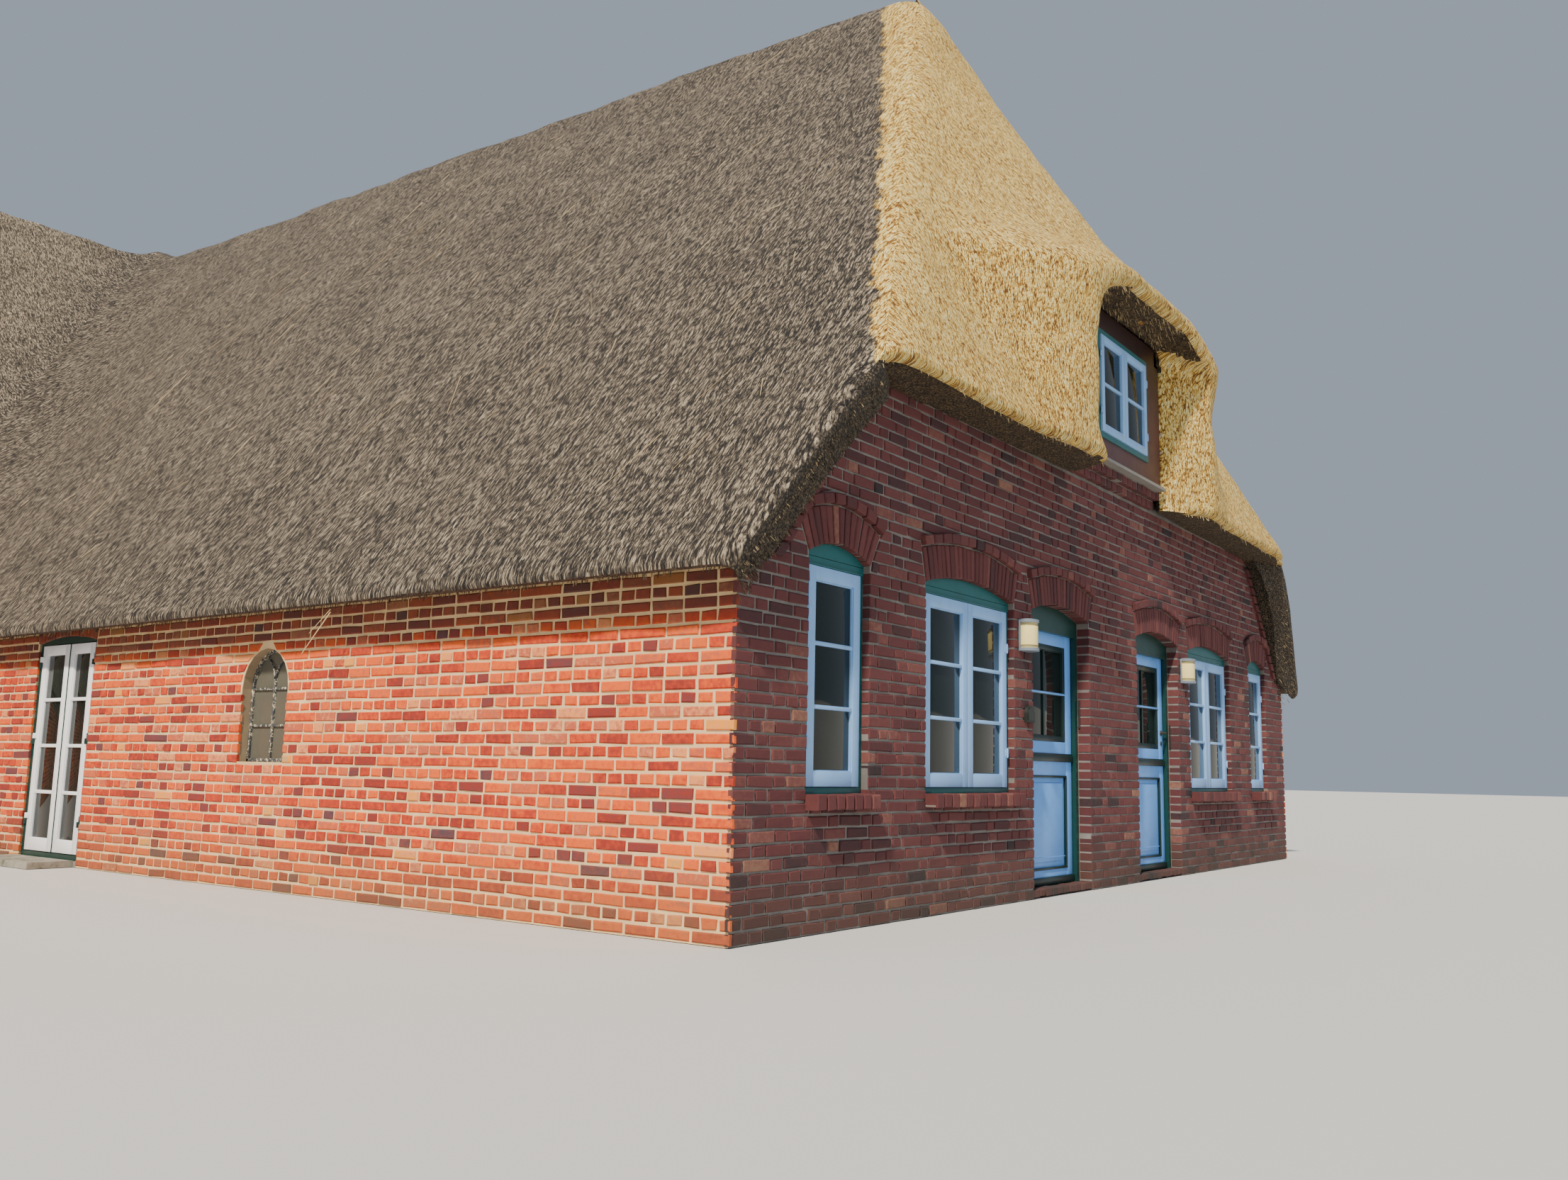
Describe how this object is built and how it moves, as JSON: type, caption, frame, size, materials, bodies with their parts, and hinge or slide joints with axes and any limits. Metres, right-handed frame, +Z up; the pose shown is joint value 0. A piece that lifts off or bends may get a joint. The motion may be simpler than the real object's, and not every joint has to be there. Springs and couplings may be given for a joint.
{
  "type": "thatched brick farmhouse",
  "caption": "Thatched brick house with a half-hipped gable wing, arched windows and doors, a reed-hooded dormer and a cross wing behind.",
  "frame": {"origin": "centre of the footprint of the whole house with its eaves, at ground level", "axes": "+X to the right along the gable front, +Y from the gable front to the back of the house, +Z up"},
  "size_m": [23.9622, 22.4984, 9.1498],
  "materials": {
    "front_brick": "rough fired clay brick, dark wine red",
    "side_brick": "rough fired clay brick, orange red",
    "old_reed": "weathered grey-brown reed thatch",
    "new_reed": "golden reed thatch",
    "green_paint": "timber painted dark green",
    "white_paint": "timber painted pale blue-white, with glass panes",
    "boards": "timber boards painted oxblood",
    "floor": "stone slabs",
    "timber": "bare timber",
    "iron": "iron with flaking white paint",
    "handle": "dark metal lever",
    "lamp": "cream lamp shade",
    "glass": "window glass"
  },
  "bodies": {
    "house": {"front_wall_left": "front_brick", "front_wall_pier": "front_brick", "front_wall_right": "front_brick", "front_gable": "front_brick", "left_wall_front": "side_brick", "left_wall_rear": "side_brick", "left_wall_head": "side_brick", "right_wall": "side_brick", "wing_front_wall_left": "side_brick", "wing_front_wall_right": "side_brick", "back_wall": "side_brick", "wing_end_wall_left": "side_brick", "wing_end_wall_right": "side_brick", "thatch_left": "old_reed", "thatch_right": "old_reed", "thatch_wing_front_left": "old_reed", "thatch_wing_front_right": "old_reed", "thatch_wing_back": "old_reed", "thatch_hip": "new_reed", "thatch_wing_hip_left": "new_reed", "thatch_wing_hip_right": "new_reed", "window_1_frame": "green_paint", "window_2_frame": "green_paint", "window_3_frame": "green_paint", "window_4_frame": "green_paint", "door_frame_left": "green_paint", "door_frame_right": "green_paint", "garden_door_frame": "green_paint", "dormer_frame": "green_paint", "window_1_casement": "white_paint", "window_2_casement": "white_paint", "window_3_casement": "white_paint", "window_4_casement": "white_paint", "dormer_casement": "white_paint", "dormer_wall": "boards", "ground_floor": "floor", "stone_step": "floor", "dormer_sill": "floor", "attic_floor": "timber", "iron_window": "iron", "wall_lamp_left": "lamp", "wall_lamp_right": "lamp", "right_wall_glass": "glass", "back_wall_glass": "glass", "wing_end_glass_left": "glass", "wing_end_glass_right": "glass"},
    "door_left": {"door_leaf_left": "white_paint", "door_handle_left": "handle"},
    "door_right": {"door_leaf_right": "white_paint", "door_handle_right": "handle"},
    "garden_leaf_front": {"garden_door_leaf_front": "white_paint"},
    "garden_leaf_rear": {"garden_door_leaf_rear": "white_paint"}
  },
  "joints": [
    {"name": "door_left_hinge", "type": "hinge", "parent": "house", "child": "door_left", "pos_m": [-0.5645, -10.531, 1], "axis": [0, 0, -1], "range_deg": [0, 95]},
    {"name": "door_right_hinge", "type": "hinge", "parent": "house", "child": "door_right", "pos_m": [0.5645, -10.531, 1], "axis": [0, 0, 1], "range_deg": [0, 95]},
    {"name": "garden_leaf_front_hinge", "type": "hinge", "parent": "house", "child": "garden_leaf_front", "pos_m": [-5.105, -4.032, 1], "axis": [0, 0, 1], "range_deg": [0, 100]},
    {"name": "garden_leaf_rear_hinge", "type": "hinge", "parent": "house", "child": "garden_leaf_rear", "pos_m": [-5.105, -3.12, 1], "axis": [0, 0, -1], "range_deg": [0, 100]}
  ]
}
